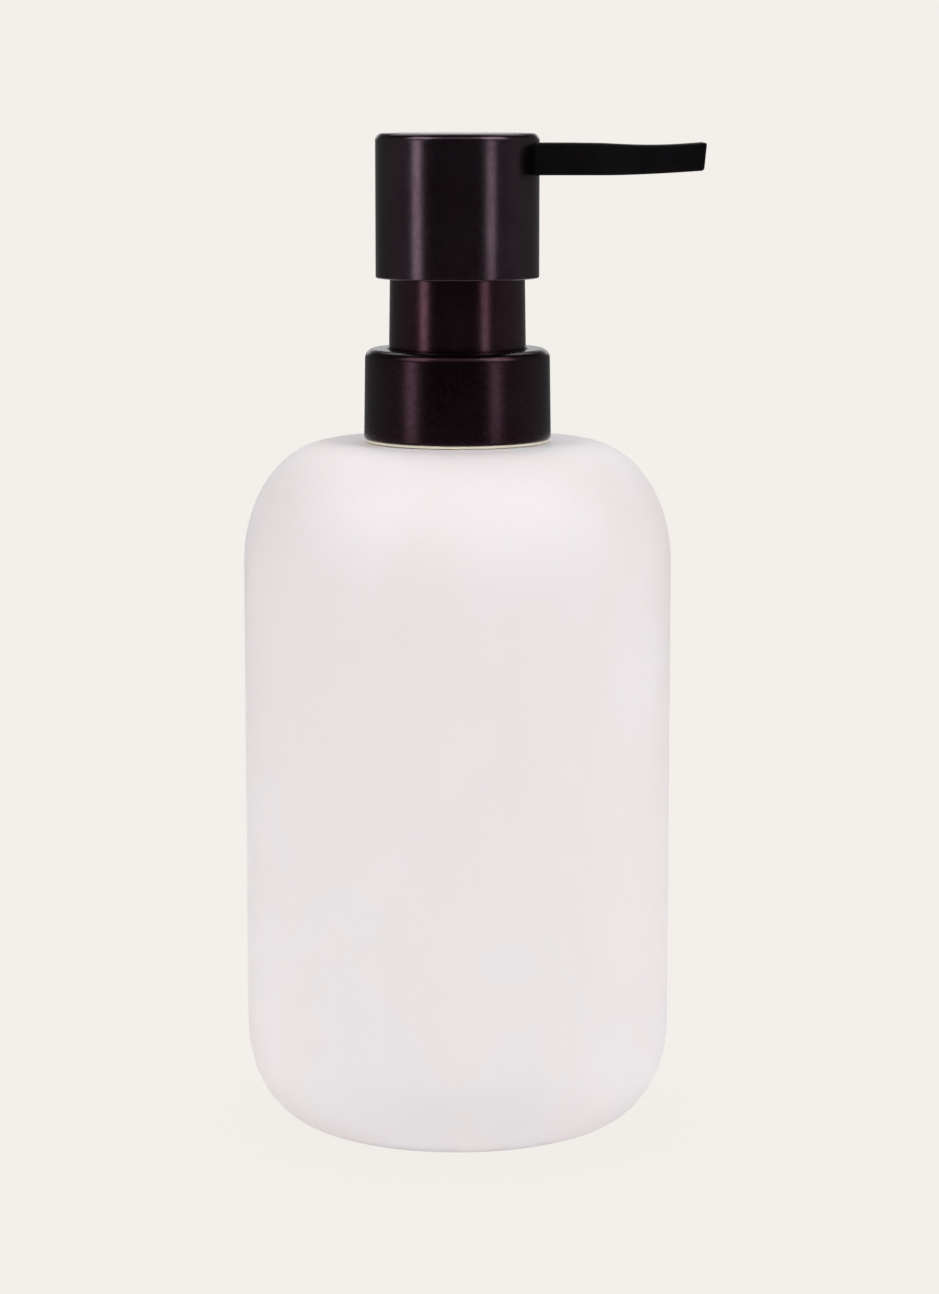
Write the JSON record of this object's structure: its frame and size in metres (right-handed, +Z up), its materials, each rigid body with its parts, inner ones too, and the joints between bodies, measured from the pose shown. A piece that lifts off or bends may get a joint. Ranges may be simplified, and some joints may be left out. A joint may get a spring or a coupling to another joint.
{
  "type": "soap pump dispenser",
  "caption": "Free-standing cylindrical bottle with rounded shoulders and base, and a screw-on lotion pump with a stepped round head and a flat side spout.",
  "frame": {"origin": "centre of the resting face, on the axis of the bottle and pump", "axes": "+Z up along the bottle's axis, +X along the spout"},
  "size_m": [0.0805, 0.075, 0.175],
  "materials": {
    "stone": "satin",
    "plum_metal": "satin",
    "black_plastic": "matte",
    "inner_plastic": "matte",
    "cream_plastic": "satin",
    "natural_plastic": "satin",
    "foam": "matte",
    "steel": "satin"
  },
  "bodies": {
    "bottle": {"bottle_body": "stone", "base_plug": "stone", "base_pad": "foam", "neck_insert": "cream_plastic"},
    "pump_body": {"pump_housing": "natural_plastic", "chaplet": "inner_plastic", "sleeve_shell": "plum_metal", "neck_gasket": "foam", "dip_tube": "natural_plastic", "ball_retainer": "natural_plastic", "return_spring": "steel"},
    "closure": {"closure_cap": "inner_plastic", "collar_shell": "plum_metal"},
    "valve_rod": {"valve_rod": "natural_plastic"},
    "piston": {"piston": "natural_plastic"},
    "head": {"stem": "inner_plastic", "actuator": "inner_plastic", "head_shell": "plum_metal", "spout": "black_plastic"},
    "check_ball": {"check_ball": "steel"}
  },
  "joints": [
    {"name": "pump_lift", "type": "slide", "parent": "bottle", "child": "pump_body", "axis": [0, 0, 1], "range_m": [0, 0.00635]},
    {"name": "collar_turn", "type": "hinge", "parent": "pump_body", "child": "closure", "pos_m": [0, 0, 0.13], "axis": [0, 0, 1], "range_deg": [0, 540]},
    {"name": "press", "type": "slide", "parent": "pump_body", "child": "valve_rod", "axis": [0, 0, -1], "range_m": [0, 0.0105], "stiffness_N_per_m": 900, "springref_m": -0.009, "deforming": ["return_spring"]},
    {"name": "piston_float", "type": "slide", "parent": "valve_rod", "child": "piston", "axis": [0, 0, 1], "range_m": [0, 0.001]},
    {"name": "head_swivel", "type": "hinge", "parent": "valve_rod", "child": "head", "pos_m": [0, 0, 0.16], "axis": [0, 0, 1], "continuous": true},
    {"name": "ball_lift", "type": "slide", "parent": "pump_body", "child": "check_ball", "axis": [0, 0, 1], "range_m": [0, 0.0012]}
  ],
  "couplings": [
    {"joint": "collar_turn", "follows": "pump_lift", "rad_per_m": 1484.2}
  ]
}
